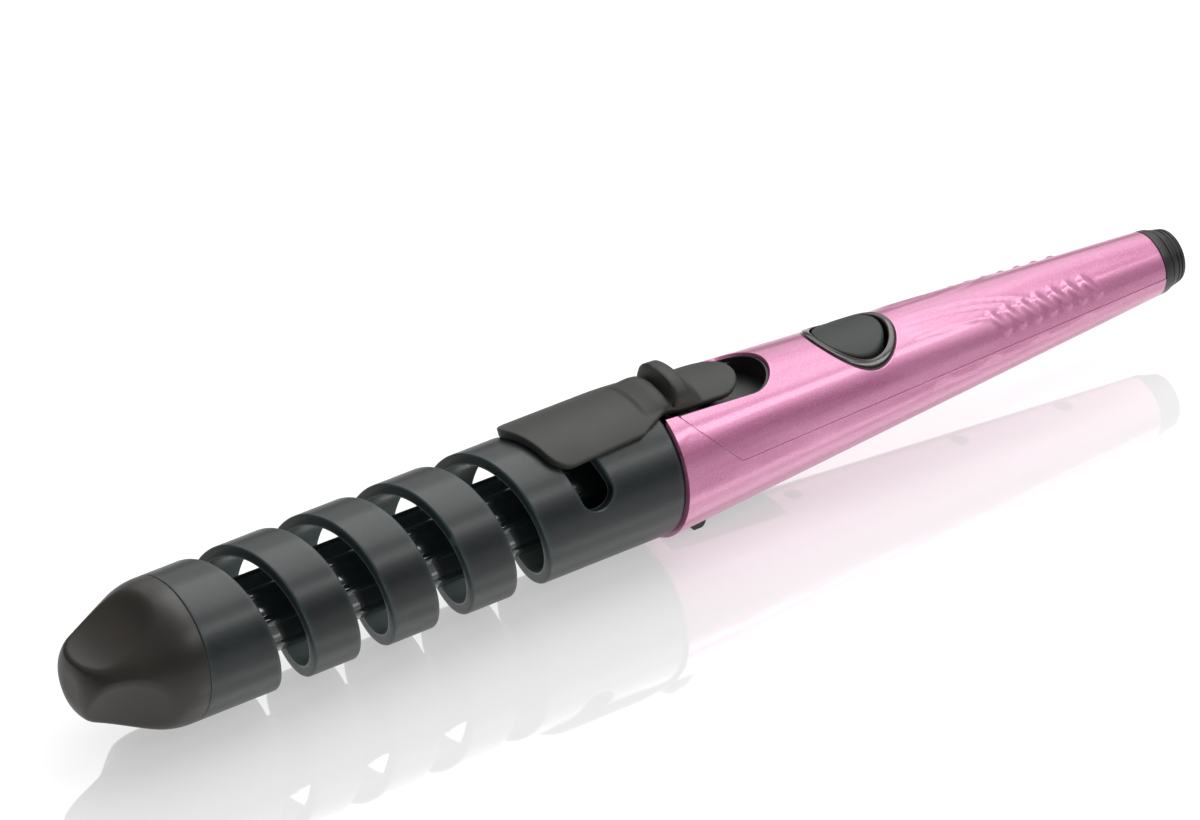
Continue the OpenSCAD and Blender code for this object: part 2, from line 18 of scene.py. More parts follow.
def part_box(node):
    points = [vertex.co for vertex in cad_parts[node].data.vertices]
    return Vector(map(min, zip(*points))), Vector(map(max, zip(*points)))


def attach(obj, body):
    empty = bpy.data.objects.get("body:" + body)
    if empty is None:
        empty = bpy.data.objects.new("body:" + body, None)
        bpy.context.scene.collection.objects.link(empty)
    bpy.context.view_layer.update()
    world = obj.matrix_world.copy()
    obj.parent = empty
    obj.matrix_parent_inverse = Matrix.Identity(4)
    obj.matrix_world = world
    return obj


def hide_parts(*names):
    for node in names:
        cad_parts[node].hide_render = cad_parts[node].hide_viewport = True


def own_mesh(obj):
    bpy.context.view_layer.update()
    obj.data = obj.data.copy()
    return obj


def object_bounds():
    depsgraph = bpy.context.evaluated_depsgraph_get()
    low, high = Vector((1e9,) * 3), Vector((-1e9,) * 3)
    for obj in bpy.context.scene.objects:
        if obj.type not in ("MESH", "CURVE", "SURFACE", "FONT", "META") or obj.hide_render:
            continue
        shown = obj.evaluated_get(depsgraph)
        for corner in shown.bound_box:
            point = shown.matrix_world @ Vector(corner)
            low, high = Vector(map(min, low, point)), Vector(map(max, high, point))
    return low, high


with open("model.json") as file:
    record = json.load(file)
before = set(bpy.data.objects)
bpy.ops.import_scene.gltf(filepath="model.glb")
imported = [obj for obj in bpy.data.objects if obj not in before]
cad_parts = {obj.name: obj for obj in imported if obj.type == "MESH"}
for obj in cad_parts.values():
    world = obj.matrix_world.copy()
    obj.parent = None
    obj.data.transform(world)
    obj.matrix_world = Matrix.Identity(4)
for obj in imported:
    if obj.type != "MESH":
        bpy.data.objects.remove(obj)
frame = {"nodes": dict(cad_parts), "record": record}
CAD_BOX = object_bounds()

MM = 0.001
TURN = 2 * math.pi
RIGHT_ANGLE = math.pi / 2
WELD = 2e-6

# ---- Sizes read from the frame --------------------------------------------------------------
SLEEVE_LOW, SLEEVE_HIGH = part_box("spiral_sleeve")
HANDLE_LOW, HANDLE_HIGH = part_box("handle_lower_shell")
TIP_FRONT_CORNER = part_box("cool_tip")[0]
OUTLET_BACK_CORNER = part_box("swivel_gland")[1]
BARREL_LOW, BARREL_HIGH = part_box("heating_barrel")
JOIN_X = HANDLE_LOW.x
AXIS_Z = (SLEEVE_LOW.z + SLEEVE_HIGH.z) / 2
SLEEVE_R = (SLEEVE_HIGH.z - SLEEVE_LOW.z) / 2 / MM
SLEEVE_FRONT = (SLEEVE_LOW.x - JOIN_X) / MM
SLEEVE_BACK = (SLEEVE_HIGH.x - JOIN_X) / MM
TIP_FRONT = (TIP_FRONT_CORNER.x - JOIN_X) / MM
HANDLE_LEN = (HANDLE_HIGH.x - JOIN_X) / MM
HANDLE_R = (HANDLE_HIGH.y - HANDLE_LOW.y) / 2 / MM
OUTLET_BACK = (OUTLET_BACK_CORNER.x - JOIN_X) / MM

# ---- Driving dimensions that the frame's boxes don't show -----------------------------------
SLEEVE_WALL = 3.0
SLOT_PITCH = 23.46
SLOT_W = 9.8
SLOT_LEAD = 128.7
SLOT_FROM = math.radians(-120)
SLOT_TO = math.radians(1500)
BARREL_R = 10.1
BARREL_BORE = 8.3
HANDLE_REAR_R = 8.85
SHELL_WALL = 2.2
CUTOUT_HALF_W = 9.7
CUTOUT_END = 37.0
SWITCH_X = 64.4
SEAM_TURN_X = 17.5
SEAM_TURN_Z = 3.2


def handle_r(x):
    """Radius of the handle's cone."""
    return HANDLE_R - (HANDLE_R - HANDLE_REAR_R) * x / HANDLE_LEN


def at(x, r, a):
    """A point of the frame from a place along, out from and round the axis."""
    return (JOIN_X + x * MM, -r * math.sin(a) * MM, AXIS_Z + r * math.cos(a) * MM)


def spot(x, y, z):
    """A point of the frame from x along the axis, y across it and z above it."""
    return (JOIN_X + x * MM, y * MM, AXIS_Z + z * MM)


# ---- Camera, floor and light ----------------------------------------------------------------
CAMERA_AZIMUTH = math.radians(-36.18)
CAMERA_ELEVATION = math.radians(32.14)
CAMERA_DISTANCE = 2.5
CAMERA_LENS = 300.75
SENSOR_WIDTH = 36
PICTURE_RIGHT = -10.6
PICTURE_UP = 13.0

BACK = Vector((
    math.sin(CAMERA_AZIMUTH) * math.cos(CAMERA_ELEVATION),
    -math.cos(CAMERA_AZIMUTH) * math.cos(CAMERA_ELEVATION),
    math.sin(CAMERA_ELEVATION),
))
RIGHT = Vector((math.cos(CAMERA_AZIMUTH), math.sin(CAMERA_AZIMUTH), 0))
UP = BACK.cross(RIGHT)


def add_camera():
    """The camera, aimed so that the junction lies right of and below the middle of the picture."""
    data = bpy.data.cameras.new("camera")
    data.lens = CAMERA_LENS
    data.sensor_width = SENSOR_WIDTH
    camera = bpy.data.objects.new("camera", data)
    bpy.context.scene.collection.objects.link(camera)
    middle = Vector(spot(0, 0, 0)) + (RIGHT * PICTURE_RIGHT + UP * PICTURE_UP) * MM
    camera.location = middle + BACK * CAMERA_DISTANCE
    camera.rotation_euler = BACK.to_track_quat("Z", "Y").to_euler()
    bpy.context.scene.camera = camera


def add_softbox(name, direction, distance, width, height, power, colour=(1, 1, 1)):
    """An area light that looks at the curler from a direction."""
    data = bpy.data.lights.new(name, "AREA")
    data.shape = "RECTANGLE"
    data.size = width
    data.size_y = height
    data.energy = power
    data.color = colour
    lamp = bpy.data.objects.new(name, data)
    bpy.context.scene.collection.objects.link(lamp)
    aim = Vector(direction).normalized()
    lamp.location = Vector(spot(0, 0, 0)) + aim * distance
    lamp.rotation_euler = aim.to_track_quat("Z", "Y").to_euler()


# The surroundings glow by the height of their direction, from 0 at the horizon to 1 overhead.
DARK_BELOW, BRIGHT_ABOVE = 0.25, 0.5
DARK_GLOW, BRIGHT_GLOW = 0.04, 0.42
FLOOR_REACH = 6.0


def add_studio():
    """A light overhead, a screen behind, and a white backdrop that lights less towards the horizon."""
    world = bpy.data.worlds.new("studio")
    world.use_nodes = True
    tree = world.node_tree
    direction = tree.nodes.new("ShaderNodeTexCoord")
    parts = tree.nodes.new("ShaderNodeSeparateXYZ")
    fade = tree.nodes.new("ShaderNodeMapRange")
    for name, value in (
        ("From Min", DARK_BELOW), ("From Max", BRIGHT_ABOVE),
        ("To Min", DARK_GLOW), ("To Max", BRIGHT_GLOW),
    ):
        fade.inputs[name].default_value = value
    background = tree.nodes["Background"]
    background.inputs["Color"].default_value = (1, 1, 1, 1)
    tree.links.new(direction.outputs["Generated"], parts.inputs["Vector"])
    tree.links.new(parts.outputs["Z"], fade.inputs["Value"])
    brighter = tree.nodes.new("ShaderNodeMath")
    brighter.operation = "MAXIMUM"
    tree.links.new(fade.outputs["Result"], brighter.inputs[0])
    tree.links.new(tree.nodes.new("ShaderNodeLightPath").outputs["Is Camera Ray"], brighter.inputs[1])
    tree.links.new(brighter.outputs["Value"], background.inputs["Strength"])
    bpy.context.scene.world = world
    add_softbox("overhead", (0.42, 0.1, 0.9), 1.3, 1.3, 0.75, 10.5)
    add_softbox("screen", (0.5, 0.683, 0.532), 2.2, 2.2, 1.6, 11)
    add_softbox("front_strip", (0.5, -0.66, 0.68), 1.4, 0.9, 0.20, 4.0)
    bpy.context.scene.view_settings.view_transform = "Standard"


def add_floor():
    """A pale, faintly glossy floor under the curler."""
    mesh = bpy.data.meshes.new("floor")
    low = CAD_BOX[0].z
    corners = [(x * FLOOR_REACH, y * FLOOR_REACH, low) for x, y in ((-1, -1), (1, -1), (1, 1), (-1, 1))]
    mesh.from_pydata(corners, [], [(0, 1, 2, 3)])
    floor = bpy.data.objects.new("floor", mesh)
    bpy.context.scene.collection.objects.link(floor)
    floor.data.materials.append(floor_material())


# ---- Materials ------------------------------------------------------------------------------
class Surface:
    """A node material under construction: a Principled shader with helpers for its textures."""

    def __init__(self, name):
        self.material = bpy.data.materials.new(name)
        self.material.use_nodes = True
        self.tree = self.material.node_tree
        self.shader = self.tree.nodes["Principled BSDF"]
        self.place = self.add("ShaderNodeTexCoord").outputs["Object"]

    def add(self, kind, **settings):
        node = self.tree.nodes.new(kind)
        for key, value in settings.items():
            setattr(node, key, value)
        return node

    def link(self, source, target):
        self.tree.links.new(source, target)

    def fixed(self, **sockets):
        """Constant shader values; a name's underscores stand for spaces."""
        for key, value in sockets.items():
            self.shader.inputs[key.replace("_", " ")].default_value = value

    def stretched(self, stretch):
        """Object coordinates, scaled along each axis."""
        mapping = self.add("ShaderNodeMapping")
        mapping.inputs["Scale"].default_value = stretch
        self.link(self.place, mapping.inputs["Vector"])
        return mapping.outputs["Vector"]

    def noise(self, scale, detail=3.0, stretch=(1, 1, 1)):
        node = self.add("ShaderNodeTexNoise")
        node.inputs["Scale"].default_value = scale
        node.inputs["Detail"].default_value = detail
        self.link(self.stretched(stretch), node.inputs["Vector"])
        return node.outputs["Fac"]

    def cells(self, scale):
        node = self.add("ShaderNodeTexVoronoi")
        node.inputs["Scale"].default_value = scale
        self.link(self.place, node.inputs["Vector"])
        return node.outputs["Color"]

    def from_axis(self):
        """Distance from the curler's axis."""
        arm = self.add("ShaderNodeVectorMath", operation="SUBTRACT")
        arm.inputs[1].default_value = (0, 0, AXIS_Z)
        self.link(self.place, arm.inputs[0])
        flat = self.add("ShaderNodeVectorMath", operation="MULTIPLY")
        flat.inputs[1].default_value = (0, 1, 1)
        self.link(arm.outputs["Vector"], flat.inputs[0])
        length = self.add("ShaderNodeVectorMath", operation="LENGTH")
        self.link(flat.outputs["Vector"], length.inputs[0])
        return length.outputs["Value"]

    def ramp(self, value, low, high, low_value, high_value):
        """A value's range from low to high, stretched to two new numbers."""
        node = self.add("ShaderNodeMapRange")
        for name, number in (
            ("From Min", low), ("From Max", high), ("To Min", low_value), ("To Max", high_value),
        ):
            node.inputs[name].default_value = number
        self.link(value, node.inputs["Value"])
        return node.outputs["Result"]

    def blend(self, factor, first, second):
        """A colour between two, each a colour or another node's output."""
        node = self.add("ShaderNodeMix", data_type="RGBA")
        self.link(factor, node.inputs[0])
        for socket, colour in ((node.inputs[6], first), (node.inputs[7], second)):
            if isinstance(colour, tuple):
                socket.default_value = (*colour, 1)
            else:
                self.link(colour, socket)
        return node.outputs[2]

    def bump(self, height, strength, distance):
        """Relief from a height texture; distance is in metres."""
        node = self.add("ShaderNodeBump")
        node.inputs["Strength"].default_value = strength
        node.inputs["Distance"].default_value = distance
        self.link(height, node.inputs["Height"])
        self.link(node.outputs["Normal"], self.shader.inputs["Normal"])


def moulded(name, light, dark, rough, grain=1800, relief=0.25, coat=0.0):
    """Moulded plastic: two close tones, a fine grain and slightly uneven gloss."""
    look = Surface(name)
    drift = look.noise(55, 4)
    speck = look.noise(grain, 2)
    tone = look.blend(look.ramp(drift, 0.3, 0.7, 0.0, 1.0), dark, light)
    shade = tuple(0.8 * c for c in dark)
    tone = look.blend(look.ramp(speck, 0.45, 0.75, 0.0, 0.35), tone, shade)
    look.link(tone, look.shader.inputs["Base Color"])
    look.link(look.ramp(drift, 0.25, 0.75, rough - 0.04, rough + 0.05), look.shader.inputs["Roughness"])
    look.fixed(Coat_Weight=coat, Coat_Roughness=0.12)
    look.bump(speck, relief, 2.5e-5)
    return look.material


def pearl_pink():
    """Pearl lacquer: long fine streaks, mica flakes and a glossy clear coat."""
    look = Surface("pearl_pink")
    streaks = look.noise(160, 4, (0.06, 1, 1))
    flakes = look.cells(5200)
    tone = look.blend(look.ramp(streaks, 0.35, 0.68, 0, 1), (0.54, 0.165, 0.325), (0.69, 0.27, 0.455))
    glints = look.add("ShaderNodeSeparateColor")
    look.link(flakes, glints.inputs["Color"])
    glint = look.ramp(glints.outputs["Red"], 0.5, 1.0, 0.0, 0.22)
    tone = look.blend(glint, tone, (0.93, 0.62, 0.76))
    look.link(tone, look.shader.inputs["Base Color"])
    look.link(look.ramp(streaks, 0.3, 0.7, 0.27, 0.36), look.shader.inputs["Roughness"])
    look.fixed(Metallic=0.35, Coat_Weight=0.5, Coat_Roughness=0.1)
    look.bump(look.noise(900, 2, (0.25, 1, 1)), 0.12, 2e-5)
    return look.material


def satin_sleeve():
    """Heat-proof sleeve: satin blue-green graphite, with a painted highlight in paler teal along its edges
    and painted light on its inside wall.
    """
    look = Surface("satin_sleeve")
    drift = look.noise(38, 4)
    grain = look.noise(2200, 2)
    tone = look.blend(look.ramp(drift, 0.3, 0.7, 0, 1), (0.009, 0.012, 0.013), (0.015, 0.019, 0.020))
    # Painted highlight: sharp edges, found by pointiness, turn a paler teal.
    edge = look.add("ShaderNodeNewGeometry").outputs["Pointiness"]
    tone = look.blend(look.ramp(edge, 0.505, 0.56, 0, 0.75), tone, (0.070, 0.115, 0.115))
    # Painted light: the inside wall, seen lit through the slot, turns a pale teal-grey.
    inner = look.ramp(look.from_axis(), (SLEEVE_R - 2.9) * MM, (SLEEVE_R - 2.4) * MM, 1, 0)
    tone = look.blend(inner, tone, (0.26, 0.33, 0.32))
    look.link(tone, look.shader.inputs["Base Color"])
    look.link(look.ramp(grain, 0.3, 0.7, 0.34, 0.44), look.shader.inputs["Roughness"])
    look.fixed(Coat_Weight=0.12, Coat_Roughness=0.22, Specular_IOR_Level=0.42)
    look.bump(grain, 0.2, 2e-5)
    return look.material


def glossy_ceramic():
    """The barrel's coating: near-black and wet-looking, with a faint long polish."""
    look = Surface("glossy_ceramic")
    polish = look.noise(420, 3, (0.05, 1, 1))
    tone = look.blend(look.ramp(polish, 0.3, 0.7, 0, 1), (0.006, 0.008, 0.009), (0.014, 0.018, 0.019))
    look.link(tone, look.shader.inputs["Base Color"])
    look.link(look.ramp(polish, 0.3, 0.7, 0.10, 0.19), look.shader.inputs["Roughness"])
    look.fixed(Coat_Weight=0.6, Coat_Roughness=0.05)
    look.bump(polish, 0.12, 2e-5)
    return look.material


def bare_metal(name, light, dark, rough, stretch=(0.08, 1, 1)):
    """Machined or drawn metal with fine lines along its length."""
    look = Surface(name)
    lines = look.noise(1500, 4, stretch)
    tone = look.blend(look.ramp(lines, 0.3, 0.7, 0, 1), dark, light)
    look.link(tone, look.shader.inputs["Base Color"])
    look.link(look.ramp(lines, 0.3, 0.7, rough, rough + 0.14), look.shader.inputs["Roughness"])
    look.fixed(Metallic=1.0)
    look.bump(lines, 0.15, 1.5e-5)
    return look.material


def floor_material():
    """White studio sheet with a soft, even gloss."""
    look = Surface("studio_sheet")
    cloud = look.noise(3, 2)
    tone = look.blend(look.ramp(cloud, 0.3, 0.7, 0, 1), (0.50, 0.50, 0.50), (0.52, 0.52, 0.52))
    look.link(tone, look.shader.inputs["Base Color"])
    look.link(look.ramp(cloud, 0.3, 0.7, 0.03, 0.05), look.shader.inputs["Roughness"])
    look.fixed(IOR=2.6, Emission_Color=(1, 1, 1, 1), Emission_Strength=0.46)
    return look.material


MATERIALS = {
    "pink_plastic": pearl_pink(),
    "sleeve_plastic": satin_sleeve(),
    "tip_plastic": moulded("brown_black_tip", (0.030, 0.024, 0.018), (0.018, 0.015, 0.012), 0.4),
    "barrel_coating": glossy_ceramic(),
    "clip_plastic": moulded(
        "olive_black_clip", (0.030, 0.031, 0.024), (0.021, 0.022, 0.017), 0.52, 2400, 0.4
    ),
    "black_plastic": moulded("black_plastic", (0.024, 0.023, 0.023), (0.014, 0.013, 0.014), 0.4),
    "bezel_plastic": moulded(
        "maroon_black_bezel", (0.030, 0.012, 0.014), (0.016, 0.008, 0.009), 0.22, coat=0.5
    ),
    "rocker_plastic": moulded("green_black_rocker", (0.022, 0.030, 0.023), (0.014, 0.020, 0.016), 0.52),
    "insulator": moulded("cream_insulator", (0.62, 0.58, 0.48), (0.52, 0.48, 0.39), 0.5),
    "ptc_ceramic": moulded("heater_ceramic", (0.17, 0.14, 0.12), (0.12, 0.10, 0.085), 0.75, 3000, 0.6),
    "amber_film": moulded("amber_film", (0.55, 0.26, 0.05), (0.45, 0.20, 0.03), 0.25, coat=0.4),
    "lead_jacket": moulded("white_lead", (0.70, 0.69, 0.66), (0.62, 0.61, 0.58), 0.5),
    "lead_jacket_black": moulded("black_lead", (0.020, 0.020, 0.021), (0.013, 0.013, 0.014), 0.5),
    "board_green": moulded("solder_mask", (0.03, 0.16, 0.06), (0.02, 0.11, 0.04), 0.35, coat=0.3),
    "capacitor_case": moulded("capacitor_case", (0.62, 0.46, 0.06), (0.52, 0.38, 0.04), 0.4),
    "aluminium": bare_metal("machined_aluminium", (0.80, 0.81, 0.82), (0.66, 0.67, 0.68), 0.3),
    "brass": bare_metal("rolled_brass", (0.82, 0.62, 0.28), (0.68, 0.48, 0.18), 0.26),
    "steel": bare_metal("turned_steel", (0.70, 0.70, 0.71), (0.52, 0.52, 0.54), 0.28),
}


# ---- Mesh tools -----------------------------------------------------------------------------
class Skin:
    """Points and faces gathered patch by patch, then welded into one closed mesh."""

    def __init__(self):
        self.points = []
        self.faces = []

    def patch(self, points, faces):
        first = len(self.points)
        self.points.extend(points)
        self.faces.extend([first + i for i in face] for face in faces)

    def loft(self, rows, closed=False):
        """Quads from each row of points to the next; closed joins each row's end to its start."""
        width = len(rows[0])
        columns = width if closed else width - 1
        self.patch(
            [point for row in rows for point in row],
            [
                (r * width + c, r * width + (c + 1) % width,
                 (r + 1) * width + (c + 1) % width, (r + 1) * width + c)
                for r in range(len(rows) - 1)
                for c in range(columns)
            ],
        )

    def build(self, name, slot, sharp=math.radians(38)):
        """The welded object, shaded smooth across edges flatter than sharp."""
        work = bmesh.new()
        made = [work.verts.new(point) for point in self.points]
        for face in self.faces:
            work.faces.new([made[i] for i in face])
        bmesh.ops.remove_doubles(work, verts=work.verts, dist=WELD)
        bmesh.ops.recalc_face_normals(work, faces=work.faces)
        mesh = bpy.data.meshes.new(name)
        work.to_mesh(mesh)
        work.free()
        mesh.shade_smooth()
        mesh.set_sharp_from_angle(angle=sharp)
        mesh.materials.append(MATERIALS[slot])
        made_object = bpy.data.objects.new(name, mesh)
        bpy.context.scene.collection.objects.link(made_object)
        return made_object


def steps(start, end, count):
    """count + 1 even steps from start to end, both included."""
    return [start + (end - start) * i / count for i in range(count + 1)]


def inside(queries, loops):
    """Whether each flat point lies within the loops, counting a hole's loop as outside."""
    queries = np.asarray(queries, float)
    crossed = np.zeros(len(queries), bool)
    for loop in loops:
        ring = np.asarray([tuple(p) for p in loop], float)
        for (x0, y0), (x1, y1) in zip(ring, np.roll(ring, -1, axis=0)):
            if y0 != y1:
                level = (queries[:, 1] >= min(y0, y1)) & (queries[:, 1] < max(y0, y1))
                edge_x = x0 + (queries[:, 1] - y0) * (x1 - x0) / (y1 - y0)
                crossed ^= level & (queries[:, 0] < edge_x)
    return crossed


def fill(loops, spacing):
    """Flat points and triangles that fill the loops, on a square lattice away from their edges."""
    points = [Vector(p) for loop in loops for p in loop]
    edges = []
    first = 0
    for loop in loops:
        edges += [(first + i, first + (i + 1) % len(loop)) for i in range(len(loop))]
        first += len(loop)
    rim = KDTree(len(points))
    for i, point in enumerate(points):
        rim.insert((*point, 0), i)
    rim.balance()
    low = Vector((min(p.x for p in points), min(p.y for p in points)))
    high = Vector((max(p.x for p in points), max(p.y for p in points)))
    columns, rows = (int(n / spacing) for n in high - low)
    lattice = [
        low + Vector((i, j)) * spacing for i in range(1, columns + 1) for j in range(1, rows + 1)
    ]
    kept = inside(lattice, loops)
    points += [p for p, within in zip(lattice, kept) if within and rim.find((*p, 0))[2] > 0.6 * spacing]
    found, sides, triangles, _, sources, _ = delaunay_2d_cdt(points, edges, [], 0, 1e-7)
    walls = {frozenset(side) for side, source in zip(sides, sources) if source}
    middles = [sum((found[i] for i in t), Vector((0, 0))) / 3 for t in triangles]
    kept = inside(middles, loops)
    return found, [triangles[i] for i in within_walls(triangles, walls, kept)]


def within_walls(triangles, walls, kept):
    """The largest group of kept triangles that join without crossing a wall."""
    beside = {}
    for i, corners in enumerate(triangles):
        for a, b in zip(corners, corners[1:] + corners[:1]):
            side = frozenset((a, b))
            if side not in walls:
                beside.setdefault(side, []).append(i)
    joined = [[] for _ in triangles]
    for pair in beside.values():
        if len(pair) == 2:
            joined[pair[0]].append(pair[1])
            joined[pair[1]].append(pair[0])
    seen = set()
    largest = []
    for start in range(len(triangles)):
        if kept[start] and start not in seen:
            seen.add(start)
            group = [start]
            for here in group:
                fresh = [other for other in joined[here] if other not in seen]
                seen.update(fresh)
                group.extend(fresh)
            largest = max(largest, group, key=len)
    return largest


def inset(loop, distance):
    """The loop moved to its left, into the material, with mitred corners."""
    moved = []
    for before, here, after in zip(loop[-1:] + loop[:-1], loop, loop[1:] + loop[:1]):
        come = (here - before).normalized()
        go = (after - here).normalized()
        left = Vector((-come.y, come.x))
        mitre = (left + Vector((-go.y, go.x))).normalized()
        moved.append(here + mitre * distance / max(mitre.dot(left), 0.5))
    return moved


def fine(loop, step):
    """A closed loop with each side cut into pieces no longer than step."""
    cut = []
    for here, after in zip(loop, loop[1:] + loop[:1]):
        count = max(1, math.ceil((after - here).length / step))
        cut += [here.lerp(after, i / count) for i in range(count)]
    return cut


def turned_left(loop, left):
    """The loop, reversed if it doesn't run anticlockwise, or clockwise where left is False."""
    doubled = sum(a.cross(b) for a, b in zip(loop, loop[1:] + loop[:1]))
    return loop if (doubled > 0) == left else loop[::-1]


SUPPORT = 2.2


def rim_levels(rim, thickness, count=4):
    """(distance from the edge, depth) from the outer face over a rounded edge and down the wall.

    Both ends lie SUPPORT rims in from the edge, where the faces are filled.
    """
    arc = [
        (rim * (1 - math.sin(t)), rim * (1 - math.cos(t))) for t in steps(0, RIGHT_ANGLE, count)
    ]
    return [(SUPPORT * rim, 0)] + arc + [(0, thickness), (SUPPORT * rim, thickness)]


def plate(skin, loops, place, thickness, rim, spacing, inner_spacing=None, edge_step=0.8):
    """A sheet of even thickness over flat loops, the first round it and the rest round its holes.

    place(u, x, depth) puts a flat point on the object, depth below its outer face.
    """
    loops = [turned_left(fine(loop, edge_step), i == 0) for i, loop in enumerate(loops)]
    for loop in loops:
        skin.loft(
            [[place(p.x, p.y, depth) for p in inset(loop, d)] for d, depth in rim_levels(rim, thickness)],
            closed=True,
        )
    edges = [inset(loop, SUPPORT * rim) for loop in loops]
    for depth, gap in ((0, spacing), (thickness, inner_spacing or spacing)):
        found, triangles = fill(edges, gap)
        skin.patch([place(p.x, p.y, depth) for p in found], triangles)


def rounded(corners, count=5):
    """An open outline of (x, r) whose corners, given as (x, r, radius), become arcs."""
    path = [Vector(corners[0][:2])]
    for before, corner, after in zip(corners, corners[1:], corners[2:]):
        here = Vector(corner[:2])
        come = (here - Vector(before[:2])).normalized()
        go = (Vector(after[:2]) - here).normalized()
        radius = corner[2] if len(corner) > 2 else 0
        bend = come.angle(go)
        if radius == 0 or bend < 1e-3:
            path.append(here)
            continue
        reach = radius * math.tan(bend / 2)
        start = here - come * reach
        side = 1 if come.cross(go) > 0 else -1
        middle = start + Vector((-come.y, come.x)) * radius * side
        for t in steps(0, bend * side, count):
            arm = start - middle
            path.append(middle + Vector((
                arm.x * math.cos(t) - arm.y * math.sin(t),
                arm.x * math.sin(t) + arm.y * math.cos(t),
            )))
    path.append(Vector(corners[-1][:2]))
    return path


def rounded_loop(corners, count=6):
    """A closed loop through corners given as (x, y, radius), each turned into an arc."""
    start = (Vector(corners[0][:2]) + Vector(corners[-1][:2])) / 2
    return rounded([tuple(start), *corners, tuple(start)], count)[:-1]


def lathe(skin, outline, count=96, closed=True):
    """An outline of (x, r) turned round the axis; closed joins its end to its start."""
    ring = [TURN * i / count for i in range(count)]
    stations = outline + outline[:1] if closed else outline
    skin.loft([[at(p.x, p.y, a) for a in ring] for p in stations], closed=True)


# ---- Spiral sleeve --------------------------------------------------------------------------
STEPS_PER_TURN = 144
FAN_STEPS = 18
SLEEVE_RIM = 0.55
SLEEVE_SUPPORT = 1.3
ACROSS_BAND = 5
SLEEVE_SPACING = 1.6
CUT_MARGIN = 20


def spiral_sleeve():
    """The sleeve: a band between neighbouring turns of the slot, closed at both ends.

    The slot is drawn on the unrolled sleeve as a long straight slot with round ends. Its outline, moved
    outwards step by step, gives the rounded edges; one turn of it faces the next across the band.
    """
    skin = Skin()
    turn = TURN * SLEEVE_R
    lean = math.atan(SLOT_PITCH / turn)
    along = Vector((math.cos(lean), math.sin(lean)))
    aft = Vector((-math.sin(lean), math.cos(lean)))
    half = SLOT_W / 2 * math.cos(lean)

    def middle(angle):
        return Vector((SLEEVE_R * angle, -SLOT_LEAD + SLOT_W / 2 + SLOT_PITCH * angle / TURN))

    def wrap(flat, depth):
        return at(flat.y, SLEEVE_R - depth, flat.x / SLEEVE_R)

    step = turn * math.cos(lean) / STEPS_PER_TURN
    count = round((middle(SLOT_TO) - middle(SLOT_FROM)).length / step)
    line = [middle(SLOT_FROM) + along * step * i for i in range(count + 1)]

    def fan(centre, start, reach):
        return [
            centre + (along * math.cos(t) + aft * math.sin(t)) * reach
            for t in steps(start, start - math.pi, FAN_STEPS)
        ]

    def sides(distance):
        reach = half + distance
        return (
            [p + aft * reach for p in line], fan(line[-1], RIGHT_ANGLE, reach),
            [p - aft * reach for p in line], fan(line[0], -RIGHT_ANGLE, reach),
        )

    arc = steps(0, RIGHT_ANGLE, 4)
    small_rim = SLEEVE_RIM / 2
    levels = [(SLEEVE_SUPPORT, 0)]
    levels += [(SLEEVE_RIM * (1 - math.sin(t)), SLEEVE_RIM * (1 - math.cos(t))) for t in arc]
    levels += [(small_rim * (1 - math.cos(t)), SLEEVE_WALL - small_rim * (1 - math.sin(t))) for t in arc]
    levels += [(SLEEVE_SUPPORT, SLEEVE_WALL)]
    rows = []
    for distance, depth in levels:
        rear, end_fan, front, start_fan = sides(distance)
        outline = rear + end_fan[1:-1] + front[::-1] + start_fan[1:-1]
        rows.append([wrap(p, depth) for p in outline])
    skin.loft(rows, closed=True)

    rear, end_fan, front, start_fan = sides(SLEEVE_SUPPORT)
    whole = Vector((turn, 0))
    pairs = [(rear[i], front[i + STEPS_PER_TURN] - whole) for i in range(count - STEPS_PER_TURN + 1)]
    for depth in (0, SLEEVE_WALL):
        skin.loft([
            [wrap(a.lerp(b, k / ACROSS_BAND), depth) for a, b in pairs] for k in range(ACROSS_BAND + 1)
        ])

    def bridge(a, b, pieces):
        return [a.lerp(b, i / pieces) for i in range(1, pieces)]

    def sleeve_end(end_x, inwards, seam_u, facing, turn_sign):
        """The closed end between the slot's last turn and the plane of the sleeve's end."""
        edge_x = end_x + inwards * SLEEVE_SUPPORT
        edge = [Vector((u, edge_x)) for u in steps(seam_u, seam_u + turn_sign * turn, STEPS_PER_TURN)]
        rise = max(2, round(abs(facing[0].y - edge_x) / SLEEVE_SPACING))
        drop = bridge(edge[-1], facing[0], rise)
        back = [p - whole * turn_sign for p in drop]
        loop = edge + drop + facing + back[::-1]
        found, triangles = fill([loop], SLEEVE_SPACING)
        for depth in (0, SLEEVE_WALL):
            skin.patch([wrap(p, depth) for p in found], triangles)
        levels = [(SLEEVE_SUPPORT, 0)]
        levels += [(small_rim * (1 - math.sin(t)), small_rim * (1 - math.cos(t))) for t in arc]
        levels += [(0, SLEEVE_WALL), (SLEEVE_SUPPORT, SLEEVE_WALL)]
        skin.loft([[wrap(Vector((p.x, end_x + inwards * d)), depth) for p in edge] for d, depth in levels])

    ahead = STEPS_PER_TURN - CUT_MARGIN
    band_start = bridge(rear[0], front[STEPS_PER_TURN] - whole, ACROSS_BAND)
    facing = front[:ahead + 1][::-1] + start_fan[1:-1] + [rear[0]] + band_start
    facing += [p - whole for p in front[ahead:STEPS_PER_TURN + 1][::-1]]
    sleeve_end(SLEEVE_FRONT, 1, front[ahead].x - turn, facing, 1)

    behind = count - STEPS_PER_TURN + CUT_MARGIN
    band_end = bridge(front[count], rear[count - STEPS_PER_TURN] + whole, ACROSS_BAND)
    facing = rear[behind:] + end_fan[1:-1] + [front[count]] + band_end
    facing += [p + whole for p in rear[count - STEPS_PER_TURN:behind + 1]]
    sleeve_end(SLEEVE_BACK, -1, rear[behind].x + turn, facing, -1)
    return skin.build("spiral_sleeve_body", "sleeve_plastic")


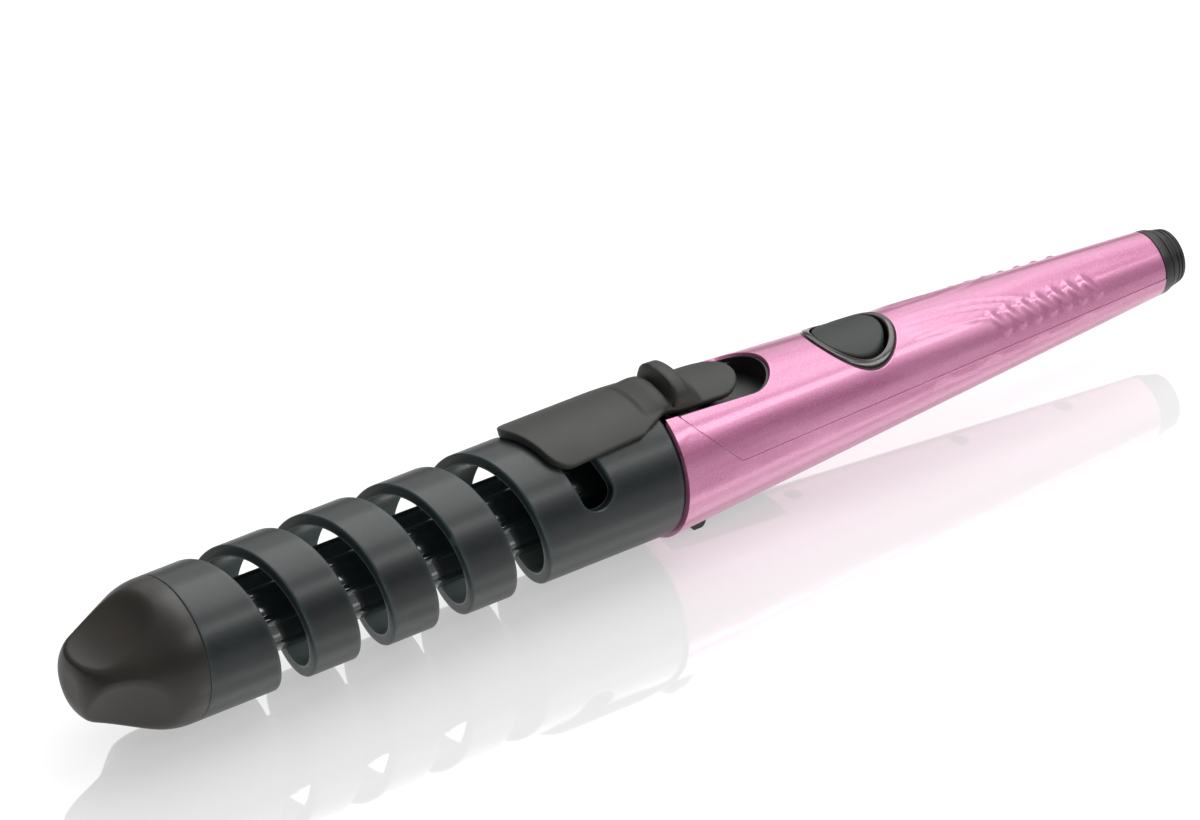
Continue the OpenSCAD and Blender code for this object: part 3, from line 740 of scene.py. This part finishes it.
# ---- Cool tip -------------------------------------------------------------------------------
NOSE_ROUND = 9.8
NOSE_CENTRE = Vector((TIP_FRONT + NOSE_ROUND, 3.0))
SHOULDER = Vector((SLEEVE_FRONT - 5.5, SLEEVE_R))
SHOULDER_BLEND = 1.6
FACET_CENTRE = (TIP_FRONT - 1.8, 34.1)
FACET_ROUND = 27.4
FACET_ANGLES = (0, math.radians(120), math.radians(240))
FACET_BLEND = 0.9
SPIGOT_R = 15.9
SPIGOT_LEN = 5
TIP_BORE = 12.4
TIP_BORE_REACH = 7
RAY_FROM = 12
TIP_RING = 216
NOSE_ROWS = 56
FLANK_ROWS = 34


def soft_max(first, second, blend):
    """The larger of two numbers, eased over a blend width where they are close."""
    ease = max(blend - abs(first - second), 0) / blend
    return max(first, second) + ease * ease * blend / 4


def cone_normal():
    """Outward direction, as (x, r), of the cone from the shoulder to the nose."""
    reach = SHOULDER - NOSE_CENTRE
    turn = math.atan2(reach.y, -reach.x) - math.acos(NOSE_ROUND / reach.length)
    return Vector((-math.cos(turn), math.sin(turn)))


CONE_NORMAL = cone_normal()


def outside_tip(x, y, z):
    """How far a point lies outside the tip: a rounded nose and a cone with three finger facets."""
    place = Vector((x, math.hypot(y, z)))
    arm = place - NOSE_CENTRE
    if arm.cross(CONE_NORMAL) > 0:
        nose = arm.dot(CONE_NORMAL) - NOSE_ROUND
    else:
        nose = math.hypot(arm.x, max(arm.y, 0)) - NOSE_ROUND
    body = soft_max(place.y - SLEEVE_R, nose, SHOULDER_BLEND)
    for angle in FACET_ANGLES:
        height = z * math.cos(angle) - y * math.sin(angle)
        hollow = FACET_ROUND - math.hypot(x - FACET_CENTRE[0], height - FACET_CENTRE[1])
        body = soft_max(body, hollow, FACET_BLEND)
    return body


def tip_radius(x, slope, angle):
    """Where a ray from the axis at x, leaning forwards by slope, leaves the tip."""
    near, far = 0.0, 30.0
    for _ in range(26):
        reach = (near + far) / 2
        out = reach * math.cos(slope)
        if outside_tip(x - reach * math.sin(slope), -out * math.sin(angle), out * math.cos(angle)) > 0:
            far = reach
        else:
            near = reach
    return near


def cool_tip():
    """The tip, with its spigot inside the sleeve."""
    skin = Skin()
    third = TIP_RING // 3
    ring = [TURN * i / TIP_RING for i in range(TIP_RING)]
    hub = TIP_FRONT + RAY_FROM
    seat = SLEEVE_FRONT - 0.4

    def row(x, slope):
        """One ring, worked out for a third of the way round because the facets repeat."""
        reach = [tip_radius(x, slope, a) for a in ring[:third]] * 3
        return [at(x - d * math.sin(slope), d * math.cos(slope), a) for d, a in zip(reach, ring)]

    rows = [row(hub, slope) for slope in steps(RIGHT_ANGLE, 0, NOSE_ROWS)]
    rows += [row(x, 0) for x in steps(hub, seat, FLANK_ROWS)[1:]]
    inner = rounded([
        (seat, SLEEVE_R), (SLEEVE_FRONT, SLEEVE_R, 0.35), (SLEEVE_FRONT, SPIGOT_R),
        (SLEEVE_FRONT + SPIGOT_LEN, SPIGOT_R, 0.5), (SLEEVE_FRONT + SPIGOT_LEN, TIP_BORE, 0.5),
        (SLEEVE_FRONT - TIP_BORE_REACH, TIP_BORE - 0.1), (SLEEVE_FRONT - TIP_BORE_REACH, 0),
    ])
    rows += [[at(p.x, p.y, a) for a in ring] for p in inner[1:]]
    skin.loft(rows, closed=True)
    return skin.build("cool_tip_body", "tip_plastic")


# ---- Heated barrel --------------------------------------------------------------------------
RIB_COUNT = 8
RIB_CENTRE = 9.1
RIB_R = 1.6
RIB_END = 16
RIB_BLEND = 0.3
BARREL_CHAMFER = 0.3
BARREL_RING = 288


def barrel_radius(angle, lift):
    """Radius of the ribbed barrel; lift from 0 to 1 raises the ribs."""
    spread = TURN / RIB_COUNT
    offset = (angle / spread) % 1 - 0.5
    across = RIB_CENTRE * math.sin(offset * spread)
    if abs(across) >= RIB_R:
        return BARREL_R
    crown = RIB_CENTRE * math.cos(offset * spread) + math.sqrt(RIB_R ** 2 - across ** 2)
    return BARREL_R + (soft_max(BARREL_R, crown, RIB_BLEND) - BARREL_R) * lift


def heated_barrel():
    """The ribbed tube, open at both ends."""
    skin = Skin()
    front = (BARREL_LOW.x - JOIN_X) / MM
    back = (BARREL_HIGH.x - JOIN_X) / MM
    ring = [TURN * i / BARREL_RING for i in range(BARREL_RING)]
    stations = [(front + BARREL_CHAMFER, 0), (front + 1, 0), (front + 1.6, 1)]
    stations += [(x, 1) for x in steps(front + 6, back - RIB_END, 12)]
    stations += [(back - RIB_END + 0.8, 0), (back - BARREL_CHAMFER, 0)]
    rows = [[at(x, barrel_radius(a, lift), a) for a in ring] for x, lift in stations]
    lip = BARREL_R - BARREL_CHAMFER
    for x, r in ((back, lip), (back, BARREL_BORE), (front, BARREL_BORE), (front, lip)):
        rows.append([at(x, r, a) for a in ring])
    skin.loft(rows + rows[:1], closed=True)
    return skin.build("heated_barrel_body", "barrel_coating")


# ---- Handle shells --------------------------------------------------------------------------
SHELL_GAP = 0.08
SHELL_RIM = 0.22
CORNER_ROOM = 1.7
FRONT_CORNER = 0.7
REAR_CORNER = 0.6
SHELL_SPACING = 0.62
SHELL_INNER_SPACING = 2.0
SWITCH_HOLE_R = 12.1
GRIP_COUNT = 7
GRIP_FIRST_X = 105.0
GRIP_STEP = 5.15
GRIP_ANGLE = math.radians(52)
GRIP_SLANT = math.radians(35)
GRIP_LEN = 6.0
GRIP_HALF_W = 1.3
GRIP_HEIGHT = 0.45
GRIP_TOP_ANGLE = math.radians(43)
LINE_COUNT = 4
LINE_FROM_X = 77.0
LINE_FROM_ANGLE = math.radians(34)
LINE_ANGLE_STEP = math.radians(8.5)
LINE_HALF_W = 0.75
LINE_HEIGHT = 0.22
LINE_BEND = 3.2


def seam_angle(x):
    """Angle from the top at which the two shells meet."""
    if x < SEAM_TURN_X:
        height = SEAM_TURN_X + SEAM_TURN_Z - x
    else:
        height = SEAM_TURN_Z * (1 - (x - SEAM_TURN_X) / (HANDLE_LEN + 2 - SEAM_TURN_X))
    return math.acos(min(1, height / handle_r(x)))


def cutout_angle(x):
    """Angle from the top of the cut-out's straight side."""
    return math.asin(CUTOUT_HALF_W / handle_r(x))


def corner_x():
    """Where the seam meets the side of the cut-out."""
    near, far = 0.0, SEAM_TURN_X
    for _ in range(40):
        middle = (near + far) / 2
        if seam_angle(middle) < cutout_angle(middle):
            near = middle
        else:
            far = middle
    return near


CORNER_X = corner_x()


def seam_stations(start):
    """Places along the seam, close together up to its turn."""
    return steps(start, SEAM_TURN_X, 16) + steps(SEAM_TURN_X, HANDLE_LEN, 70)[1:]


def grip_lift(angle, x):
    """Height of the slanting grip ribs at a place on the handle."""
    height = 0.0
    slot = round((x - GRIP_FIRST_X) / GRIP_STEP)
    for k in range(max(0, slot - 1), min(GRIP_COUNT, slot + 2)):
        along = x - GRIP_FIRST_X - k * GRIP_STEP
        around = (abs(angle) - GRIP_ANGLE) * handle_r(x)
        lengthwise = around * math.cos(GRIP_SLANT) + along * math.sin(GRIP_SLANT)
        sideways = along * math.cos(GRIP_SLANT) - around * math.sin(GRIP_SLANT)
        past = max(0, abs(lengthwise) - GRIP_LEN / 2)
        away = math.hypot(past, sideways) / GRIP_HALF_W
        if away < 1:
            height = max(height, GRIP_HEIGHT * (1 - away * away) ** 0.75)
    return height


def line_lift(angle, x):
    """Height of the fine lines that run aft from the switch and turn down into the first ribs."""
    height = 0.0
    for k in range(LINE_COUNT):
        end = GRIP_FIRST_X + k * GRIP_STEP - math.sin(GRIP_SLANT) * GRIP_LEN / 2
        along = (x - LINE_FROM_X) / (end - LINE_FROM_X)
        if 0 < along < 1:
            start = LINE_FROM_ANGLE - k * LINE_ANGLE_STEP
            drop = GRIP_TOP_ANGLE - start
            course = start + drop * along ** LINE_BEND
            slope = handle_r(x) * drop * LINE_BEND * along ** (LINE_BEND - 1) / (end - LINE_FROM_X)
            away = abs(abs(angle) - course) * handle_r(x) / math.hypot(1, slope) / LINE_HALF_W
            fade = min(1, 6 * along)
            if away < 1:
                height = max(height, LINE_HEIGHT * fade * (1 - away * away))
    return height


def on_upper(u, x, depth):
    """The upper shell's surface over a place unrolled round the handle, with its ribs and lines."""
    r = handle_r(x)
    angle = u / r
    lift = max(grip_lift(angle, x), line_lift(angle, x)) if depth == 0 else 0
    return at(x, r + lift - depth, angle)


def upper_shell():
    """The shell above the seam, with the clip's cut-out and the switch hole."""
    rear = (handle_r(HANDLE_LEN) * seam_angle(HANDLE_LEN), HANDLE_LEN, REAR_CORNER)
    seam = [(handle_r(x) * seam_angle(x), x, 0) for x in seam_stations(CORNER_X + CORNER_ROOM)[:-1]]
    front = (handle_r(CORNER_X) * cutout_angle(CORNER_X), CORNER_X, FRONT_CORNER)
    side = [
        (handle_r(x) * cutout_angle(x), x, 0)
        for x in steps(CORNER_X + CORNER_ROOM, CUTOUT_END - CUTOUT_HALF_W, 24)
    ]
    bow = []
    for t in steps(0, math.pi, 36)[1:-1]:
        x = CUTOUT_END - CUTOUT_HALF_W + CUTOUT_HALF_W * math.sin(t)
        r = handle_r(x)
        bow.append((r * math.asin(CUTOUT_HALF_W * math.cos(t) / r), x, 0))
    near_half = [rear, *seam[::-1], front, *side]
    outline = rounded_loop(near_half + bow + [(-u, x, radius) for u, x, radius in near_half[::-1]])
    hole = []
    for t in steps(0, TURN, 96)[:-1]:
        x = SWITCH_X + SWITCH_HOLE_R * math.cos(t)
        r = handle_r(x)
        hole.append(Vector((r * math.asin(SWITCH_HOLE_R * math.sin(t) / r), x)))
    outline = inset(turned_left(outline, True), SHELL_GAP)
    skin = Skin()
    plate(skin, [outline, hole], on_upper, SHELL_WALL, SHELL_RIM, SHELL_SPACING, SHELL_INNER_SPACING)
    return skin.build("handle_upper_shell_body", "pink_plastic")


# ---- Switch ---------------------------------------------------------------------------------
BEZEL_R = 12.0
BEZEL_BORE = 9.95
BEZEL_LIFT = 0.5
BEZEL_BOTTOM = 6.6
BEZEL_CROWN = 0.48
BEZEL_LEDGE = 0.6
ROCKER_R = 9.15
ROCKER_DISH_R = 8.4
ROCKER_ROUND = 0.6
ROCKER_DEPTH = 1.9
ROCKER_LIFT = 0.3
ROCKER_DISH = 0.35
ROCKER_TILT = math.radians(-3.5)
ROCKER_PIVOT_Z = 7.5


def disc_rings(skin, outline, tilt=0.0, count=144):
    """Rings round the switch's upright axis: (radius, lift above the handle), or a fixed z if given.

    tilt turns the result about the rocker's pivot, towards the cord end.
    """
    rows = []
    for radius, lift, fixed in outline:
        row = []
        for i in range(count):
            turn = TURN * i / count
            x, y = SWITCH_X + radius * math.cos(turn), radius * math.sin(turn)
            z = fixed if fixed is not None else math.sqrt(handle_r(x) ** 2 - y * y) + lift
            ahead, above = x - SWITCH_X, z - ROCKER_PIVOT_Z
            row.append(spot(
                SWITCH_X + ahead * math.cos(tilt) + above * math.sin(tilt), y,
                ROCKER_PIVOT_Z + above * math.cos(tilt) - ahead * math.sin(tilt),
            ))
        rows.append(row)
    skin.loft(rows, closed=True)


def switch_bezel():
    """The ring round the rocker, crowned and following the handle's curve."""
    side = BEZEL_R - 0.02
    crown = [(side, -1.4, None), (side, -0.1, None)]
    crown += [
        (BEZEL_R - 0.5 + BEZEL_CROWN * math.cos(t), BEZEL_LIFT - 0.5 + BEZEL_CROWN * math.sin(t), None)
        for t in steps(0.2, RIGHT_ANGLE, 5)
    ]
    crown += [(BEZEL_BORE + 0.75, BEZEL_LIFT - 0.06, None)]
    crown += [
        (BEZEL_BORE + BEZEL_LEDGE * (1 - math.sin(t)), BEZEL_LIFT - 0.7 + BEZEL_LEDGE * math.cos(t), None)
        for t in steps(0, RIGHT_ANGLE, 5)
    ]
    crown += [(BEZEL_BORE, 0, BEZEL_BOTTOM), (side, 0, BEZEL_BOTTOM)]
    skin = Skin()
    disc_rings(skin, crown + crown[:1])
    return skin.build("switch_bezel_ring", "bezel_plastic")


def switch_rocker():
    """The rocker, slightly dished, with its edge rounded."""
    top = [
        (radius, ROCKER_LIFT - ROCKER_DISH * (1 - (radius / ROCKER_DISH_R) ** 2), None)
        for radius in steps(0, ROCKER_DISH_R, 14)
    ]
    top += [
        (ROCKER_R + ROCKER_ROUND * (math.sin(t) - 1), ROCKER_LIFT + ROCKER_ROUND * (math.cos(t) - 1), None)
        for t in steps(0.1, RIGHT_ANGLE, 5)
    ]
    bottom = ROCKER_PIVOT_Z - ROCKER_DEPTH
    top += [(ROCKER_R, 0, bottom + 0.4), (ROCKER_R - 0.4, 0, bottom), (0, 0, bottom)]
    skin = Skin()
    disc_rings(skin, top, ROCKER_TILT)
    return skin.build("switch_rocker_cap", "rocker_plastic")


# ---- Clip -----------------------------------------------------------------------------------
CLIP_R = 21.4
CLIP_T = 2.0
CLIP_REACH = 37.2
PLATE_HALF_W = CLIP_R * math.sin(math.radians(38))
PLATE_SKEW = SLOT_PITCH / (TURN * SLEEVE_R)
PLATE_CORNER = 6.0
TAIL_HALF_W = 8.5
TAIL_END = 27.0
TAIL_LIFT = 0.5
CLIP_RIM = 0.45
CLIP_SPACING = 0.6
LIP_X = 3.7
LIP_TOP_X = 5.6
LIP_REAR_X = 8.6
LIP_END_X = 12.8
LIP_HEIGHT = 5.7
LIP_HALF_W = 8.3
LIP_LEAN = 1.0
SADDLE_FROM = -7.0
SADDLE_RISE = 1.5
SLIT_DEPTH = 1.2
SLIT_HALF_W = 0.8
SLIT_SPAN = 0.97
STEP_X = -5.6
STEP_RISE = 0.3


def ease(t):
    """0 below 0, 1 above 1 and smooth between."""
    t = min(1, max(0, t))
    return t * t * (3 - 2 * t)


def clip_radius(x):
    """Outer radius of the clip: level over the sleeve, then down the handle's cone."""
    return CLIP_R + (handle_r(x) + TAIL_LIFT - CLIP_R) * ease((x + 1) / 7)


def on_clip(y, x, depth):
    """The clip's surface over a place in plan, with its saddle, slit and curled lip."""
    r = clip_radius(x)
    across = min(1, abs(y) / LIP_HALF_W)
    crown = (1 - across ** 3) ** 0.6
    rise = SADDLE_RISE * ease((x - SADDLE_FROM) / (LIP_X - SADDLE_FROM)) * crown if x < LIP_X else 0
    rise += STEP_RISE * ease((x - STEP_X) / 0.5) * crown if x < LIP_X else 0
    slit = SLIT_DEPTH * max(0, 1 - ((x - LIP_X + 0.5) / SLIT_HALF_W) ** 2)
    slit *= math.sqrt(max(0, 1 - (across / SLIT_SPAN) ** 2))
    lip = 0
    if x > LIP_X:
        up = ease((x - LIP_X) / (LIP_TOP_X - LIP_X)) ** 0.45
        down = 1 - ease((x - LIP_REAR_X) / (LIP_END_X - LIP_REAR_X))
        lip = LIP_HEIGHT * min(up, down) * crown
    held = 1 - min(1, depth / CLIP_T)
    lift = (rise + lip - slit) * held
    shift = -LIP_LEAN * (lip / LIP_HEIGHT) * held
    angle = -math.asin(y / r)
    return at(x + shift, r + lift - depth, angle)


def clip_plan():
    """Plan of the clip as (y, x): front plate, shoulders and rounded tail."""
    wide, narrow = PLATE_HALF_W, TAIL_HALF_W
    slant = wide * PLATE_SKEW
    return rounded_loop([
        (wide, -CLIP_REACH - slant, PLATE_CORNER), (-wide, -CLIP_REACH + slant, PLATE_CORNER),
        (1 - wide, -8, 2.5), (-narrow, 1, 5), (-narrow, TAIL_END, narrow - 0.3),
        (narrow, TAIL_END, narrow - 0.3), (narrow, 1, 5), (wide - 1, -8, 2.5),
    ])


def hair_clip():
    """Front plate, lip and thumb tail in one curved sheet."""
    skin = Skin()
    plate(skin, [clip_plan()], on_clip, CLIP_T, CLIP_RIM, CLIP_SPACING, 1.6, edge_step=0.6)
    return skin.build("hair_clip_plate", "clip_plastic", math.radians(50))


HUB_X = 8.0
HUB_Z = 14.2
HUB_R = 2.3
HUB_HALF_W = 3.1
HUB_BORE = 1.3
WEB_HALF_T = 1.6
WEB_TOP = 18.2


def clip_hub():
    """The clip's bearing under the tail: a drilled boss and its web."""
    meet = math.asin(WEB_HALF_T / HUB_R)
    boss = [
        Vector((HUB_X + HUB_R * math.sin(t), HUB_Z + HUB_R * math.cos(t)))
        for t in steps(meet, TURN - meet, 36)
    ]
    loop = boss + [Vector((HUB_X - WEB_HALF_T, WEB_TOP)), Vector((HUB_X + WEB_HALF_T, WEB_TOP))]
    bore = [
        Vector((HUB_X + HUB_BORE * math.cos(t), HUB_Z + HUB_BORE * math.sin(t)))
        for t in steps(0, TURN, 32)[:-1]
    ]
    skin = Skin()
    plate(
        skin, [loop, bore], lambda x, z, depth: spot(x, HUB_HALF_W - depth, z),
        2 * HUB_HALF_W, 0.15, 0.8, edge_step=0.5,
    )
    return skin.build("hair_clip_hub", "clip_plastic")


SPRING_X = 20.0
SPRING_R = 2.2
SPRING_WIRE = 0.4
SPRING_TURNS = 4
SPRING_STEPS = 24
SPRING_FOOT = 10.8
SPRING_TOP = 16.3


def clip_spring():
    """The coil under the tail: a round wire along a helix."""
    last = SPRING_TURNS * SPRING_STEPS
    first_z = SPRING_FOOT + SPRING_WIRE + 0.02
    rise = SPRING_TOP - SPRING_FOOT - 2 * SPRING_WIRE
    rows = []
    for i in range(last + 1):
        turn = TURN * i / SPRING_STEPS
        outward = Vector((math.cos(turn), math.sin(turn), 0))
        middle = Vector((SPRING_X, 0, first_z + rise * i / last)) + SPRING_R * outward
        rows.append([
            spot(*(middle + SPRING_WIRE * (math.cos(b) * outward + Vector((0, 0, math.sin(b))))))
            for b in steps(0, TURN, 12)[:-1]
        ])
    skin = Skin()
    skin.loft(rows, closed=True)
    for end in (rows[0], rows[-1]):
        skin.patch(end, [range(len(end))])
    return skin.build("clip_spring_coil", "steel")


# ---- Cord outlet ----------------------------------------------------------------------------
CAP_BACK = HANDLE_LEN + 2.8
CAP_GAP = 0.05
CAP_PLUG_REACH = 4
NECK_R = 4.6
NECK_FLANGE_R = 6
CORD_BORE = 3.2
GROOVE_DEPTH = 0.35
GROOVE_STARTS = (0.36, 0.62)
GROOVE_SHARE = 0.1


def end_cap():
    """The ring that closes the handle."""
    bore = NECK_R + CAP_GAP
    plug = HANDLE_REAR_R - SHELL_WALL - 0.15
    front = HANDLE_LEN + CAP_GAP
    inner = HANDLE_LEN - CAP_PLUG_REACH
    outline = rounded([
        (front, plug), (front, HANDLE_REAR_R, 0.25), (CAP_BACK, HANDLE_REAR_R - 0.25, 0.4),
        (CAP_BACK, bore, 0.3), (inner, bore), (inner, plug, 0.3), (front, plug),
    ])
    skin = Skin()
    lathe(skin, outline[:-1])
    return skin.build("end_cap_ring", "black_plastic")


def swivel_gland():
    """The turning outlet: a tapered nose with two grooves and its neck inside the cap."""
    front = CAP_BACK + 0.3
    wide, small = HANDLE_REAR_R - 0.6, HANDLE_REAR_R - 1.7
    span = OUTLET_BACK - front

    def skin_r(share):
        return wide + (small - wide) * share

    outline = [(front, NECK_R), (front, wide, 0.3)]
    for share in GROOVE_STARTS:
        start, end = front + span * share, front + span * (share + GROOVE_SHARE)
        bottom = skin_r(share) - GROOVE_DEPTH
        outline += [
            (start, skin_r(share), 0.12), (start, bottom), (end, bottom),
            (end, skin_r(share + GROOVE_SHARE), 0.12),
        ]
    bore_end = HANDLE_LEN - 4.1
    flange_back, flange_front = HANDLE_LEN - 4.4, HANDLE_LEN - 7.1
    outline += [
        (OUTLET_BACK, small, 0.9), (OUTLET_BACK, CORD_BORE + 0.6, 0.2), (OUTLET_BACK - 0.9, CORD_BORE, 0.4),
        (bore_end, CORD_BORE), (bore_end, 0), (flange_front, 0), (flange_front, NECK_FLANGE_R, 0.3),
        (flange_back, NECK_FLANGE_R, 0.3), (flange_back, NECK_R), (front, NECK_R),
    ]
    skin = Skin()
    lathe(skin, rounded(outline)[:-1])
    return skin.build("swivel_gland_nose", "black_plastic")


# ---- Putting the pieces on their bodies -----------------------------------------------------
def mount(piece, body, *nodes):
    """The piece moves with the body and is shown in place of the CAD nodes."""
    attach(piece, body)
    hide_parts(*nodes)


add_camera()
add_studio()
add_floor()
mount(spiral_sleeve(), "handle", "spiral_sleeve")
mount(cool_tip(), "handle", "cool_tip")
mount(heated_barrel(), "handle", "heating_barrel")
mount(upper_shell(), "handle", "handle_upper_shell")
mount(switch_bezel(), "handle", "switch_bezel")
mount(switch_rocker(), "rocker", "switch_rocker")
mount(hair_clip(), "clip", "hair_clip")
mount(clip_hub(), "clip", "hair_clip")
spring = clip_spring()
mount(spring, "handle", "clip_spring")
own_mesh(spring)
mount(end_cap(), "handle", "end_cap")
mount(swivel_gland(), "cord_outlet", "swivel_gland")

SLOT_OF_NODE = {part["node"]: part["material_slot"] for part in frame["record"]["subparts"]}
for node, cad in frame["nodes"].items():
    cad.data.materials.clear()
    cad.data.materials.append(MATERIALS[SLOT_OF_NODE[node]])


def corners(box):
    return [[float(c) for c in corner] for corner in box]
